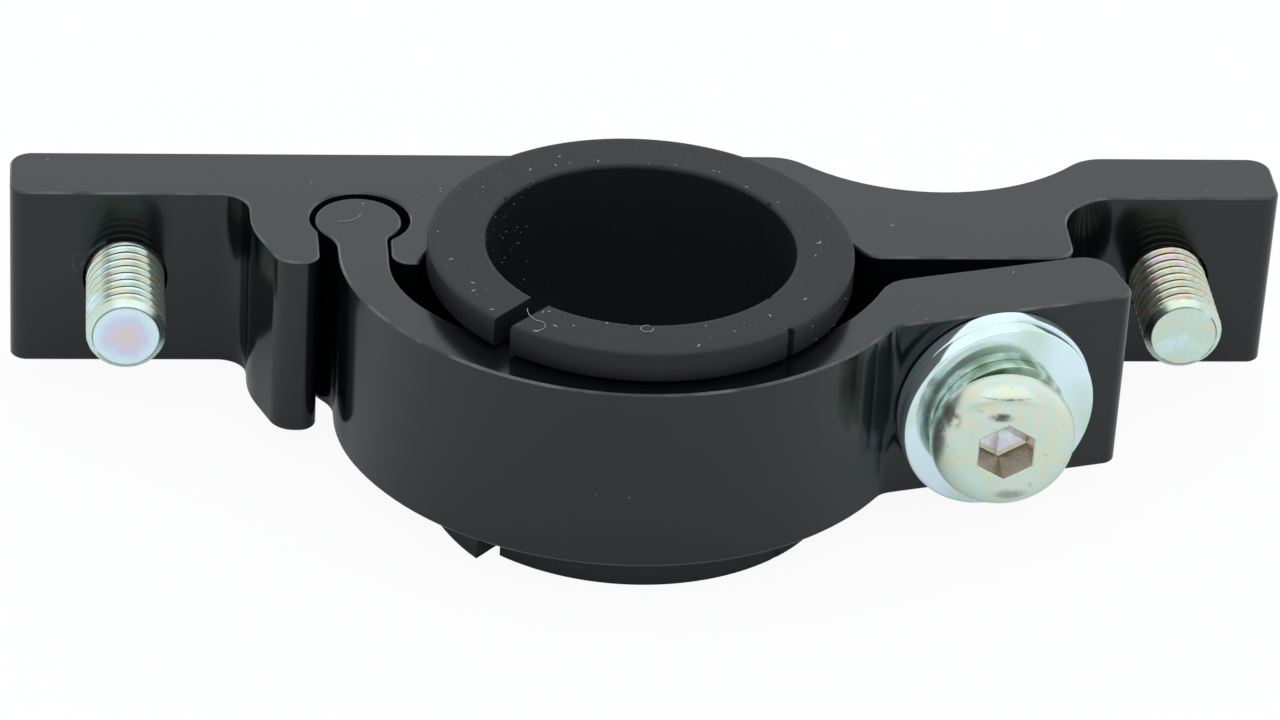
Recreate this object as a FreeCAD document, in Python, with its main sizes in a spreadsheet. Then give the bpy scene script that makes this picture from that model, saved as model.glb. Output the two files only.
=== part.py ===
"""Bottle cage adapter: a hinged tube clamp that carries the two bolts of a bottle cage.

The origin is on the axis of the clamped tube at mid height. +Z runs along the tube, +X from the
hinge to the clamp bolt and +Y from the tube to the cage. Lengths are in millimetres.
"""
import FreeCAD, Part
import math
import os
import Sketcher

DIMENSIONS = {
    # The two extrusions
    "extrusion_height": 11.84,
    "edge_break": 0.12,
    # Back plate and its cage bolts
    "cage_bolt_spacing": 64.0,
    "cage_centre_x": 1.75,
    "plate_left_reach": 6.95,
    "plate_right_reach": 6.48,
    "plate_thickness": 4.9,
    "back_wall": 3.5,
    "plate_back_left_round": 1.35,
    "plate_back_right_round": 1.35,
    "plate_front_left_round": 1.0,
    "plate_front_right_round": 0.9,
    # Tube saddle in the base
    "saddle_shift_x": 0.6,
    "seat_clearance": 0.25,
    # Knuckle socket and its two jaws
    "socket_x": -16.3,
    "socket_y": 6.3,
    "socket_radius": 3.0,
    "mouth_left": 2.55,
    "mouth_right": 1.7,
    "jaw_tip_y": 1.05,
    "outer_jaw_width": 4.05,
    "outer_jaw_taper_width": 1.7,
    "outer_jaw_taper_length": 4.2,
    "outer_jaw_taper_round": 7.0,
    "outer_jaw_lip_round": 1.0,
    "outer_jaw_fullness": 1.15,
    "outer_jaw_root_round": 1.75,
    "inner_jaw_width": 1.54,
    "inner_jaw_tip_round": 1.1,
    "mouth_lip_round": 0.5,
    # Tapped block on the right and the scallop behind it
    "block_front_y": 1.9,
    "block_right_x": 26.5,
    "block_saddle_round": 1.3,
    "block_corner_round": 1.4,
    "block_root_round": 3.5,
    "scallop_x": 19.5,
    "scallop_radius": 11.8,
    "scallop_depth": 4.2,
    "scallop_blend": 3.0,
    # Clamp arm
    "bead_radius": 2.6,
    "bead_shift_x": -0.12,
    "bead_shift_y": -0.25,
    "neck_left": 1.35,
    "neck_right": 1.67,
    "neck_left_round": 2.3,
    "neck_right_round": 0.7,
    "strap_inner_x": -0.03,
    "strap_inner_bulge": 1.38,
    "strap_outer_x": -0.18,
    "strap_outer_bulge": 0.41,
    "strap_wall": 3.2,
    "strap_clearance": 0.25,
    "strap_outer_blend": 13.0,
    "strap_inner_blend": 8.0,
    "ear_tilt": 13.5,
    "ear_thickness": 5.0,
    "ear_rise": 0.14,
    "ear_overhang": 1.8,
    "ear_inner_round": 2.5,
    "ear_outer_blend": 1.5,
    "ear_tip_inner_round": 1.9,
    "ear_tip_outer_round": 0.9,
    "ear_slot_length": 8.45,
    "ear_slot_shift": 0.9,
    # Rubber sleeve
    "tube_radius": 9.2,
    "sleeve_wall": 1.05,
    "flange_width": 2.4,
    "flange_thickness": 1.86,
    "flange_gap": 0.17,
    "flange_round": 0.2,
    "slit_angle": -134.0,
    "slit_width_inside": 1.5,
    "slit_width_outside": 1.1,
    "notch_angle": -51.0,
    "notch_width": 0.4,
    "notch_depth": 0.7,
    # Bolts
    "thread_radius": 2.5,
    "thread_clearance": 0.05,
    "slot_clearance": 0.3,
    "tip_chamfer": 0.5,
    "head_radius": 4.3,
    "head_height": 2.0,
    "head_shoulder": 1.75,
    "hex_across_flats": 3.2,
    "hex_depth": 1.5,
    "clamp_bolt_x": 21.05,
    "clamp_bolt_length": 20.0,
    "cage_bolt_length": 12.0,
    "cage_left_head_gap": 0.25,
    "cage_right_head_gap": 0.65,
    # Washers on the clamp bolt
    "washer_radius": 6.0,
    "washer_hole_radius": 2.8,
    "washer_thickness": 1.1,
    "washer_round": 0.2,
    "lock_washer_radius": 4.1,
    "lock_washer_hole_radius": 2.75,
    "lock_washer_thickness": 0.8,
    "lock_washer_gap": 0.6,
    "lock_washer_gap_angle": 250.0,
    "stack_gap": 0.03,
}

# Lengths that follow from the driving dimensions: each is a formula on the sheet
DERIVED = {
    "half_height": "extrusion_height / 2",
    "sleeve_body_radius": "tube_radius + sleeve_wall",
    "flange_radius": "sleeve_body_radius + flange_width",
    "seat_y": "sleeve_body_radius + seat_clearance",
    "plate_back_y": "seat_y + back_wall",
    "plate_front_y": "plate_back_y - plate_thickness",
    "plate_left_x": "cage_centre_x - cage_bolt_spacing / 2 - plate_left_reach",
    "plate_right_x": "cage_centre_x + cage_bolt_spacing / 2 + plate_right_reach",
    "cage_left_x": "cage_centre_x - cage_bolt_spacing / 2",
    "cage_right_x": "cage_centre_x + cage_bolt_spacing / 2",
    "mouth_left_x": "socket_x - mouth_left",
    "mouth_right_x": "socket_x + mouth_right",
    "saddle_reach": "saddle_shift_x - mouth_right_x - inner_jaw_width",
    "saddle_rise": "seat_y - jaw_tip_y",
    "saddle_radius": "(saddle_reach ^ 2 + saddle_rise ^ 2) / (saddle_rise * 2)",
    "saddle_y": "seat_y - saddle_radius",
    "outer_jaw_x": "mouth_left_x - outer_jaw_width",
    "outer_jaw_nose_round": "(outer_jaw_width - outer_jaw_taper_width - outer_jaw_lip_round)"
                            " * outer_jaw_fullness",
    "scallop_y": "plate_back_y - scallop_depth + scallop_radius",
    "bead_x": "socket_x + bead_shift_x",
    "bead_y": "socket_y + bead_shift_y",
    "neck_left_x": "bead_x - neck_left",
    "neck_right_x": "bead_x + neck_right",
    "strap_inner_radius": "strap_inner_x - neck_right_x + strap_inner_bulge",
    "strap_outer_radius": "strap_outer_x - neck_left_x + strap_outer_bulge",
    "strap_inner_y": "strap_inner_radius - sleeve_body_radius - strap_clearance",
    "strap_outer_y": "strap_outer_radius - strap_wall - sleeve_body_radius - strap_clearance",
    "ear_tip_x": "block_right_x + ear_overhang",
    "ear_tip_y": "block_front_y + ear_rise + ear_overhang * tan(ear_tilt * 1 deg)",
    "ear_inner_y": "ear_tip_y - (ear_tip_x - clamp_bolt_x) * tan(ear_tilt * 1 deg)",
    "ear_front_y": "ear_inner_y - ear_thickness / cos(ear_tilt * 1 deg)",
    "ear_middle_y": "(ear_inner_y + ear_front_y) / 2",
    "flange_inner_z": "half_height + flange_gap",
    "sleeve_half_height": "flange_inner_z + flange_thickness",
    "tapped_radius": "thread_radius + thread_clearance",
    "slot_radius": "thread_radius + slot_clearance",
    "slot_left": "ear_slot_shift - ear_slot_length / 2 + slot_radius",
    "slot_right": "ear_slot_shift + ear_slot_length / 2 - slot_radius",
    "rear_washer_y": "ear_front_y - stack_gap / cos(ear_tilt * 1 deg)",
    "front_washer_y": "rear_washer_y - (washer_thickness + stack_gap) / cos(ear_tilt * 1 deg)",
    "lock_washer_y": "front_washer_y - (washer_thickness + stack_gap) / cos(ear_tilt * 1 deg)",
    "clamp_head_y": "lock_washer_y - lock_washer_thickness / cos(ear_tilt * 1 deg)"
                    " - lock_washer_radius * sin(ear_tilt * 1 deg) - stack_gap",
    "cage_left_head_y": "plate_back_y + cage_left_head_gap",
    "cage_right_head_y": "plate_back_y + cage_right_head_gap",
}

ORIGIN = -1
START, END, CENTRE = 1, 2, 3
TURN = 360.0
QUARTER_TURN = TURN / 4
SIDES_OF_HEX = 6
SAME = 1e-6  # lengths closer than this count as equal
UNSOLVED = 1.0  # stands in for a dimension until its formula is read


def make_sheet(doc):
    """Writes the driving dimensions as numbers and the derived ones as formulas."""
    sheet = doc.addObject("Spreadsheet::Sheet", "Dimensions")
    for row, (alias, value) in enumerate(DIMENSIONS.items(), start=1):
        sheet.set(f"A{row}", alias)
        sheet.set(f"B{row}", str(value))
        sheet.setAlias(f"B{row}", alias)
    for row, (alias, formula) in enumerate(DERIVED.items(), start=1):
        sheet.set(f"D{row}", alias)
        sheet.set(f"E{row}", "=" + formula)
        sheet.setAlias(f"E{row}", alias)
    doc.recompute()
    return sheet


def cell(name):
    """The expression for one sheet cell."""
    return "Dimensions." + name


class Model:
    """One sub-part: a body with its sketches and features, all bound to the sheet."""

    def __init__(self, doc, sheet, label):
        self.doc = doc
        self.sheet = sheet
        self.body = doc.addObject("PartDesign::Body", label)
        self.body.Label = label

    def size(self, name):
        return float(getattr(self.sheet, name))

    def plane(self, role):
        return next(item for item in self.body.Origin.OriginFeatures if item.Role == role)

    def sketch(self, name, role, turn=None, axis=(0, 0, 1), **shift):
        """Sketch on an origin plane, turned by one cell and shifted by expressions for x, y or z."""
        sketch = self.body.newObject("Sketcher::SketchObject", name)
        sketch.AttachmentSupport = [(self.plane(role), "")]
        sketch.MapMode = "FlatFace"
        if turn:
            rotation = FreeCAD.Rotation(FreeCAD.Vector(*axis), self.size(turn))
            sketch.AttachmentOffset = FreeCAD.Placement(FreeCAD.Vector(), rotation)
            sketch.setExpression("AttachmentOffset.Rotation.Angle", cell(turn) + " * 1 deg")
        for letter, expression in shift.items():
            sketch.setExpression("AttachmentOffset.Base." + letter, expression)
        return sketch

    def bind(self, sketch, kind, where, expression, value=UNSOLVED):
        """Adds one dimension whose value is a sheet expression."""
        index = sketch.addConstraint(Sketcher.Constraint(kind, *where, value))
        sketch.setExpression(f"Constraints[{index}]", expression)

    def bind_size(self, sketch, kind, where, name):
        """Adds one dimension that is a single cell of the sheet."""
        self.bind(sketch, kind, where, cell(name), self.size(name))

    def pin(self, sketch, item, point, x, y):
        """Ties a point of a sketch to its two coordinates."""
        self.bind(sketch, "DistanceX", (ORIGIN, START, item, point), x)
        self.bind(sketch, "DistanceY", (ORIGIN, START, item, point), y)

    def circle(self, sketch, x, y, radius):
        item = sketch.addGeometry(Part.Circle(FreeCAD.Vector(), FreeCAD.Vector(0, 0, 1), UNSOLVED))
        self.pin(sketch, item, CENTRE, x, y)
        self.bind(sketch, "Radius", (item,), radius)

    def polygon(self, sketch, corners):
        """Closed outline of straight edges; each corner is a pair of expressions."""
        count = len(corners)
        ring = [self.on_ring(index, count) for index in range(count)]
        items = [sketch.addGeometry(Part.LineSegment(ring[index], ring[(index + 1) % count]))
                 for index in range(count)]
        for index, item in enumerate(items):
            sketch.addConstraint(Sketcher.Constraint("Coincident", items[index - 1], END, item, START))
            self.pin(sketch, item, START, *corners[index])

    @staticmethod
    def on_ring(index, count):
        angle = 2 * math.pi * index / count
        return FreeCAD.Vector(math.cos(angle), math.sin(angle), 0)

    def add(self, kind, name, sketch, length, symmetric=False):
        """Pad or pocket of a set length, or a pocket through everything where length is None."""
        feature = self.body.newObject("PartDesign::" + kind, name)
        feature.Profile = sketch
        if symmetric:
            feature.SideType = "Symmetric"
        if length is None:
            feature.Type = "ThroughAll"
        else:
            feature.setExpression("Length", length)
        self.doc.recompute()

    def revolve(self, name, sketch):
        """Full turn about the sketch's own upright axis."""
        feature = self.body.newObject("PartDesign::Revolution", name)
        feature.Profile = sketch
        feature.ReferenceAxis = (sketch, ["V_Axis"])
        feature.Angle = TURN
        self.doc.recompute()

    def upright_edge(self, x, y):
        """Name of the straight edge along Z that stands nearest to a point."""
        gaps = {}
        for index, edge in enumerate(self.body.Tip.Shape.Edges, start=1):
            box = edge.BoundBox
            if box.XLength < SAME and box.YLength < SAME:
                gaps[f"Edge{index}"] = math.hypot(box.XMin - x, box.YMin - y)
        return min(gaps, key=gaps.get)

    def round_upright(self, name, radius, *points):
        """Rounds the upright edges nearest to the given points."""
        self.dress("Fillet", name, radius, [self.upright_edge(x, y) for x, y in points])

    def faces_at(self, z):
        """Names of the flat faces at a given height."""
        return [f"Face{index}" for index, face in enumerate(self.body.Tip.Shape.Faces, start=1)
                if face.BoundBox.ZLength < SAME and abs(face.CenterOfMass.z - z) < SAME]

    def edges_at(self, radius, z):
        """Names of the arcs about Z with a given radius and height."""
        names = []
        for index, edge in enumerate(self.body.Tip.Shape.Edges, start=1):
            curve = edge.Curve
            if not isinstance(curve, Part.Circle) or edge.BoundBox.ZLength > SAME:
                continue
            on_axis = math.hypot(curve.Center.x, curve.Center.y) < SAME
            if on_axis and abs(curve.Radius - radius) < SAME and abs(curve.Center.z - z) < SAME:
                names.append(f"Edge{index}")
        return names

    def dress(self, kind, name, amount, references):
        """Fillet or chamfer of the named edges or faces."""
        base = self.body.Tip
        feature = self.body.newObject("PartDesign::" + kind, name)
        feature.Base = (base, references)
        feature.setExpression("Radius" if kind == "Fillet" else "Size", cell(amount))
        self.doc.recompute()

    def break_edges(self):
        """Breaks the sawn edges of an extrusion, top and bottom."""
        half = self.size("half_height")
        self.dress("Chamfer", "EdgeBreak", "edge_break", self.faces_at(half) + self.faces_at(-half))


def base_bracket(doc, sheet):
    """Back plate, saddle, knuckle socket with two jaws, tapped block and scallop."""
    part = Model(doc, sheet, "base_bracket")
    size = part.size
    outline = part.sketch("Outline", "XY_Plane")
    taper_x = f"{cell('outer_jaw_x')} + {cell('outer_jaw_taper_width')}"
    taper_y = f"{cell('jaw_tip_y')} + {cell('outer_jaw_taper_length')}"
    part.polygon(outline, [
        (cell("plate_left_x"), cell("plate_back_y")),
        (cell("plate_left_x"), cell("plate_front_y")),
        (cell("outer_jaw_x"), cell("plate_front_y")),
        (cell("outer_jaw_x"), taper_y),
        (taper_x, cell("jaw_tip_y")),
        (cell("saddle_shift_x"), cell("jaw_tip_y")),
        (cell("saddle_shift_x"), cell("block_front_y")),
        (cell("block_right_x"), cell("block_front_y")),
        (cell("block_right_x"), cell("plate_front_y")),
        (cell("plate_right_x"), cell("plate_front_y")),
        (cell("plate_right_x"), cell("plate_back_y")),
    ])
    part.add("Pad", "Extrusion", outline, cell("extrusion_height"), symmetric=True)

    saddle = part.sketch("SaddleArc", "XY_Plane")
    part.circle(saddle, cell("saddle_shift_x"), cell("saddle_y"), cell("saddle_radius"))
    part.add("Pocket", "Saddle", saddle, None, symmetric=True)
    scallop = part.sketch("ScallopArc", "XY_Plane")
    part.circle(scallop, cell("scallop_x"), cell("scallop_y"), cell("scallop_radius"))
    part.add("Pocket", "Scallop", scallop, None, symmetric=True)
    socket = part.sketch("SocketArc", "XY_Plane")
    part.circle(socket, cell("socket_x"), cell("socket_y"), cell("socket_radius"))
    part.add("Pocket", "Socket", socket, None, symmetric=True)
    mouth = part.sketch("MouthSlot", "XY_Plane")
    below = f"{cell('jaw_tip_y')} - {cell('socket_radius')}"
    part.polygon(mouth, [
        (cell("mouth_left_x"), below),
        (cell("mouth_right_x"), below),
        (cell("mouth_right_x"), cell("socket_y")),
        (cell("mouth_left_x"), cell("socket_y")),
    ])
    part.add("Pocket", "Mouth", mouth, None, symmetric=True)

    back, front, tip = size("plate_back_y"), size("plate_front_y"), size("jaw_tip_y")
    left, right = size("plate_left_x"), size("plate_right_x")
    jaw, taper = size("outer_jaw_x"), size("outer_jaw_taper_width")
    block_front, block_right = size("block_front_y"), size("block_right_x")
    mouth_left, mouth_right = size("mouth_left_x"), size("mouth_right_x")
    scallop_half = math.sqrt(size("scallop_radius") ** 2 - (size("scallop_y") - back) ** 2)
    saddle_right = size("saddle_shift_x") + math.sqrt(
        size("saddle_radius") ** 2 - (block_front - size("saddle_y")) ** 2)
    lip_left = size("socket_y") - math.sqrt(size("socket_radius") ** 2 - size("mouth_left") ** 2)
    lip_right = size("socket_y") - math.sqrt(size("socket_radius") ** 2 - size("mouth_right") ** 2)
    scallop_x = size("scallop_x")
    part.round_upright("PlateBackLeft", "plate_back_left_round", (left, back))
    part.round_upright("PlateFrontLeft", "plate_front_left_round", (left, front))
    part.round_upright("PlateBackRight", "plate_back_right_round", (right, back))
    part.round_upright("PlateFrontRight", "plate_front_right_round", (right, front))
    part.round_upright("JawRoot", "outer_jaw_root_round", (jaw, front))
    part.round_upright("JawTaper", "outer_jaw_taper_round", (jaw, tip + size("outer_jaw_taper_length")))
    part.round_upright("JawNose", "outer_jaw_nose_round", (jaw + taper, tip))
    part.round_upright("JawLip", "outer_jaw_lip_round", (mouth_left, tip))
    part.round_upright("InnerJawTip", "inner_jaw_tip_round", (mouth_right, tip))
    part.round_upright("MouthLips", "mouth_lip_round", (mouth_left, lip_left), (mouth_right, lip_right))
    part.round_upright("BlockSaddle", "block_saddle_round", (saddle_right, block_front))
    part.round_upright("BlockCorner", "block_corner_round", (block_right, block_front))
    part.round_upright("BlockRoot", "block_root_round", (block_right, front))
    part.round_upright("ScallopEnds", "scallop_blend",
                       (scallop_x - scallop_half, back), (scallop_x + scallop_half, back))
    part.break_edges()

    holes = part.sketch("BoltHoles", "XZ_Plane")
    for x in ("cage_left_x", "cage_right_x", "clamp_bolt_x"):
        part.circle(holes, cell(x), "0", cell("tapped_radius"))
    part.add("Pocket", "TappedHoles", holes, None, symmetric=True)
    return part


def clamp_arm(doc, sheet):
    """Bead, neck, curved strap and tilted ear with its bolt slot."""
    part = Model(doc, sheet, "clamp_arm")
    size = part.size
    tilt = math.radians(size("ear_tilt"))
    along = FreeCAD.Vector(math.cos(tilt), math.sin(tilt), 0)
    outward = FreeCAD.Vector(math.sin(tilt), -math.cos(tilt), 0)
    inner = (FreeCAD.Vector(size("strap_inner_x"), size("strap_inner_y"), 0), size("strap_inner_radius"))
    outer = (FreeCAD.Vector(size("strap_outer_x"), size("strap_outer_y"), 0), size("strap_outer_radius"))
    tip_inner = FreeCAD.Vector(size("ear_tip_x"), size("ear_tip_y"), 0)
    tip_outer = tip_inner + outward * size("ear_thickness")

    def on_circle_at_x(centre, radius, x):
        return FreeCAD.Vector(x, centre.y - math.sqrt(radius ** 2 - (x - centre.x) ** 2), 0)

    def on_circle_along_ear(centre, radius, point):
        back = (point - centre).dot(along)
        square = back ** 2 - (point - centre).Length ** 2 + radius ** 2
        return point - along * (back - math.sqrt(square))

    neck_left = FreeCAD.Vector(size("neck_left_x"), size("bead_y"), 0)
    neck_right = FreeCAD.Vector(size("neck_right_x"), size("bead_y"), 0)
    neck_left_foot = on_circle_at_x(*outer, neck_left.x)
    neck_right_foot = on_circle_at_x(*inner, neck_right.x)
    ear_root_outer = on_circle_along_ear(*outer, tip_outer)
    ear_root_inner = on_circle_along_ear(*inner, tip_inner)

    outline = part.sketch("Outline", "XY_Plane")

    def line(start, stop):
        return outline.addGeometry(Part.LineSegment(start, stop))

    def low_arc(start, stop, centre, radius):
        return outline.addGeometry(Part.Arc(start, centre - FreeCAD.Vector(0, radius, 0), stop))

    neck_out = line(neck_left, neck_left_foot)
    strap_out = low_arc(neck_left_foot, ear_root_outer, *outer)
    ear_out = line(ear_root_outer, tip_outer)
    ear_end = line(tip_outer, tip_inner)
    ear_in = line(tip_inner, ear_root_inner)
    strap_in = low_arc(ear_root_inner, neck_right_foot, *inner)
    neck_in = line(neck_right_foot, neck_right)
    neck_end = line(neck_right, neck_left)
    # An arc runs counter-clockwise, so the inner one starts where the outline leaves it
    joins = [(neck_out, END, strap_out, START), (strap_out, END, ear_out, START),
             (ear_out, END, ear_end, START), (ear_end, END, ear_in, START),
             (ear_in, END, strap_in, END), (strap_in, START, neck_in, START),
             (neck_in, END, neck_end, START), (neck_end, END, neck_out, START)]
    for join in joins:
        outline.addConstraint(Sketcher.Constraint("Coincident", *join))
    outline.addConstraint(Sketcher.Constraint("Vertical", neck_out))
    outline.addConstraint(Sketcher.Constraint("Vertical", neck_in))
    outline.addConstraint(Sketcher.Constraint("Parallel", ear_out, ear_in))
    outline.addConstraint(Sketcher.Constraint("Perpendicular", ear_end, ear_in))
    for item, point, x, y in [(strap_out, CENTRE, "strap_outer_x", "strap_outer_y"),
                              (strap_in, CENTRE, "strap_inner_x", "strap_inner_y"),
                              (neck_out, START, "neck_left_x", "bead_y"),
                              (neck_end, START, "neck_right_x", "bead_y"),
                              (ear_in, START, "ear_tip_x", "ear_tip_y")]:
        part.bind_size(outline, "DistanceX", (ORIGIN, START, item, point), x)
        part.bind_size(outline, "DistanceY", (ORIGIN, START, item, point), y)
    part.bind_size(outline, "Radius", (strap_out,), "strap_outer_radius")
    part.bind_size(outline, "Radius", (strap_in,), "strap_inner_radius")
    part.bind_size(outline, "Distance", (ear_end,), "ear_thickness")
    part.bind(outline, "Angle", (ear_out,), cell("ear_tilt") + " * 1 deg", tilt)
    part.add("Pad", "Strap", outline, cell("extrusion_height"), symmetric=True)

    bead = part.sketch("BeadArc", "XY_Plane")
    part.circle(bead, cell("bead_x"), cell("bead_y"), cell("bead_radius"))
    part.add("Pad", "Bead", bead, cell("extrusion_height"), symmetric=True)

    bead_x, bead_y, bead_radius = size("bead_x"), size("bead_y"), size("bead_radius")
    root_left = bead_y - math.sqrt(bead_radius ** 2 - size("neck_left") ** 2)
    root_right = bead_y - math.sqrt(bead_radius ** 2 - size("neck_right") ** 2)
    part.round_upright("NeckLeft", "neck_left_round", (bead_x - size("neck_left"), root_left))
    part.round_upright("NeckRight", "neck_right_round", (bead_x + size("neck_right"), root_right))
    part.round_upright("StrapOuter", "strap_outer_blend", (neck_left_foot.x, neck_left_foot.y))
    part.round_upright("EarOuter", "ear_outer_blend", (ear_root_outer.x, ear_root_outer.y))
    part.round_upright("EarTipOuter", "ear_tip_outer_round", (tip_outer.x, tip_outer.y))
    part.round_upright("EarTipInner", "ear_tip_inner_round", (tip_inner.x, tip_inner.y))
    part.round_upright("EarInner", "ear_inner_round", (ear_root_inner.x, ear_root_inner.y))
    part.round_upright("StrapInner", "strap_inner_blend", (neck_right_foot.x, neck_right_foot.y))
    part.break_edges()

    # The slot is square to the ear and stretches towards its tip, where the bolt goes as the arm opens
    slot = part.sketch("BoltSlot", "XZ_Plane", turn="ear_tilt", axis=(0, 1, 0),
                       x=cell("clamp_bolt_x"), z="-" + cell("ear_middle_y"))
    obround(part, slot, "slot_left", "slot_right", "slot_radius")
    part.add("Pocket", "Slot", slot, cell("ear_thickness") + " * 2", symmetric=True)
    return part


def obround(part, sketch, left, right, radius):
    """Slot outline: two half circles joined by two straight edges."""
    start, stop = FreeCAD.Vector(part.size(left), 0, 0), FreeCAD.Vector(part.size(right), 0, 0)
    up = FreeCAD.Vector(0, part.size(radius), 0)
    along = FreeCAD.Vector(part.size(radius), 0, 0)
    arc_right = sketch.addGeometry(Part.Arc(stop - up, stop + along, stop + up))
    top = sketch.addGeometry(Part.LineSegment(stop + up, start + up))
    arc_left = sketch.addGeometry(Part.Arc(start + up, start - along, start - up))
    bottom = sketch.addGeometry(Part.LineSegment(start - up, stop - up))
    for join in [(arc_right, END, top, START), (top, END, arc_left, START),
                 (arc_left, END, bottom, START), (bottom, END, arc_right, START)]:
        sketch.addConstraint(Sketcher.Constraint("Tangent", *join))
    sketch.addConstraint(Sketcher.Constraint("Equal", arc_left, arc_right))
    for arc, x in ((arc_left, left), (arc_right, right)):
        part.bind_size(sketch, "DistanceX", (ORIGIN, START, arc, CENTRE), x)
        sketch.addConstraint(Sketcher.Constraint("PointOnObject", arc, CENTRE, ORIGIN))
    part.bind_size(sketch, "Radius", (arc_right,), radius)


def rubber_sleeve(doc, sheet):
    """Split sleeve with a flange at each end, slit along its length and notched at its rim."""
    part = Model(doc, sheet, "rubber_sleeve")
    size = part.size
    section = part.sketch("Section", "XZ_Plane")
    top, low = cell("sleeve_half_height"), "-" + cell("sleeve_half_height")
    shelf_top, shelf_low = cell("flange_inner_z"), "-" + cell("flange_inner_z")
    inside, body, rim = cell("tube_radius"), cell("sleeve_body_radius"), cell("flange_radius")
    part.polygon(section, [(inside, low), (rim, low), (rim, shelf_low), (body, shelf_low),
                           (body, shelf_top), (rim, shelf_top), (rim, top), (inside, top)])
    part.revolve("Turned", section)
    rim_edges = []
    for height in ("sleeve_half_height", "flange_inner_z"):
        for sign in (1, -1):
            rim_edges += part.edges_at(size("flange_radius"), sign * size(height))
    part.dress("Fillet", "RimRound", "flange_round", rim_edges)

    slit = part.sketch("SlitOutline", "XY_Plane", turn="slit_angle")
    near, far = f"{cell('tube_radius')} / 2", f"{cell('flange_radius')} * 2 - {cell('tube_radius')}"
    half_in, half_out = cell("slit_width_inside") + " / 2", cell("slit_width_outside") + " / 2"
    part.polygon(slit, [(near, "-" + half_in), (far, "-" + half_out), (far, half_out), (near, half_in)])
    part.add("Pocket", "Slit", slit, None, symmetric=True)

    notch = part.sketch("NotchOutline", "XY_Plane", turn="notch_angle")
    floor = f"{cell('flange_radius')} - {cell('notch_depth')}"
    side = cell("notch_width") + " / 2"
    part.polygon(notch, [(floor, "-" + side), (far, "-" + side), (far, side), (floor, side)])
    part.add("Pocket", "Notch", notch, None, symmetric=True)
    return part


def button_bolt(doc, sheet, label, length):
    """Low button-head bolt along Z: the head stands on Z = 0 and the shank hangs below."""
    part = Model(doc, sheet, label)
    size = part.size
    section = part.sketch("Section", "XZ_Plane")
    shank, chamfer, tip = cell("thread_radius"), cell("tip_chamfer"), "-" + cell(length)
    part.polygon(section, [
        ("0", tip),
        (f"{shank} - {chamfer}", tip),
        (shank, f"{tip} + {chamfer}"),
        (shank, "0"),
        (cell("head_radius"), "0"),
        (cell("head_radius"), cell("head_height")),
        ("0", cell("head_height")),
    ])
    part.revolve("Turned", section)
    part.dress("Fillet", "Shoulder", "head_shoulder",
               part.edges_at(size("head_radius"), size("head_height")))

    key = part.sketch("HexSocket", "XY_Plane", z=cell("head_height"))
    corner = f"{cell('hex_across_flats')} / 2 / cos({TURN / 2 / SIDES_OF_HEX} deg)"
    angles = [f"{QUARTER_TURN + index * TURN / SIDES_OF_HEX} deg" for index in range(SIDES_OF_HEX)]
    part.polygon(key, [(f"{corner} * cos({angle})", f"{corner} * sin({angle})") for angle in angles])
    part.add("Pocket", "HexKey", key, cell("hex_depth"))
    return part


def ring(doc, sheet, label, outer, hole, thickness):
    """Flat ring on the XY plane, standing up along Z."""
    part = Model(doc, sheet, label)
    outline = part.sketch("Outline", "XY_Plane")
    part.circle(outline, "0", "0", cell(outer))
    part.circle(outline, "0", "0", cell(hole))
    part.add("Pad", "Disc", outline, cell(thickness))
    return part


def flat_washer(doc, sheet, label):
    """Large stamped washer with rounded rims."""
    part = ring(doc, sheet, label, "washer_radius", "washer_hole_radius", "washer_thickness")
    radius = part.size("washer_radius")
    rims = part.edges_at(radius, 0.0) + part.edges_at(radius, part.size("washer_thickness"))
    part.dress("Fillet", "RimRound", "washer_round", rims)
    return part


def lock_washer(doc, sheet):
    """Split spring washer with a slanting cut."""
    part = ring(doc, sheet, "lock_washer", "lock_washer_radius", "lock_washer_hole_radius",
                "lock_washer_thickness")
    cut = part.sketch("Split", "XY_Plane", turn="lock_washer_gap_angle")
    near, far = f"{cell('lock_washer_hole_radius')} / 2", f"{cell('lock_washer_radius')} * 2"
    half, slant = f"{cell('lock_washer_gap')} / 2", cell("lock_washer_gap")
    part.polygon(cut, [(near, f"-{half} - {slant}"), (far, f"-{half} + {slant}"),
                       (far, f"{half} + {slant}"), (near, f"{half} - {slant}")])
    part.add("Pocket", "SplitCut", cut, None, symmetric=True)
    return part


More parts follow.
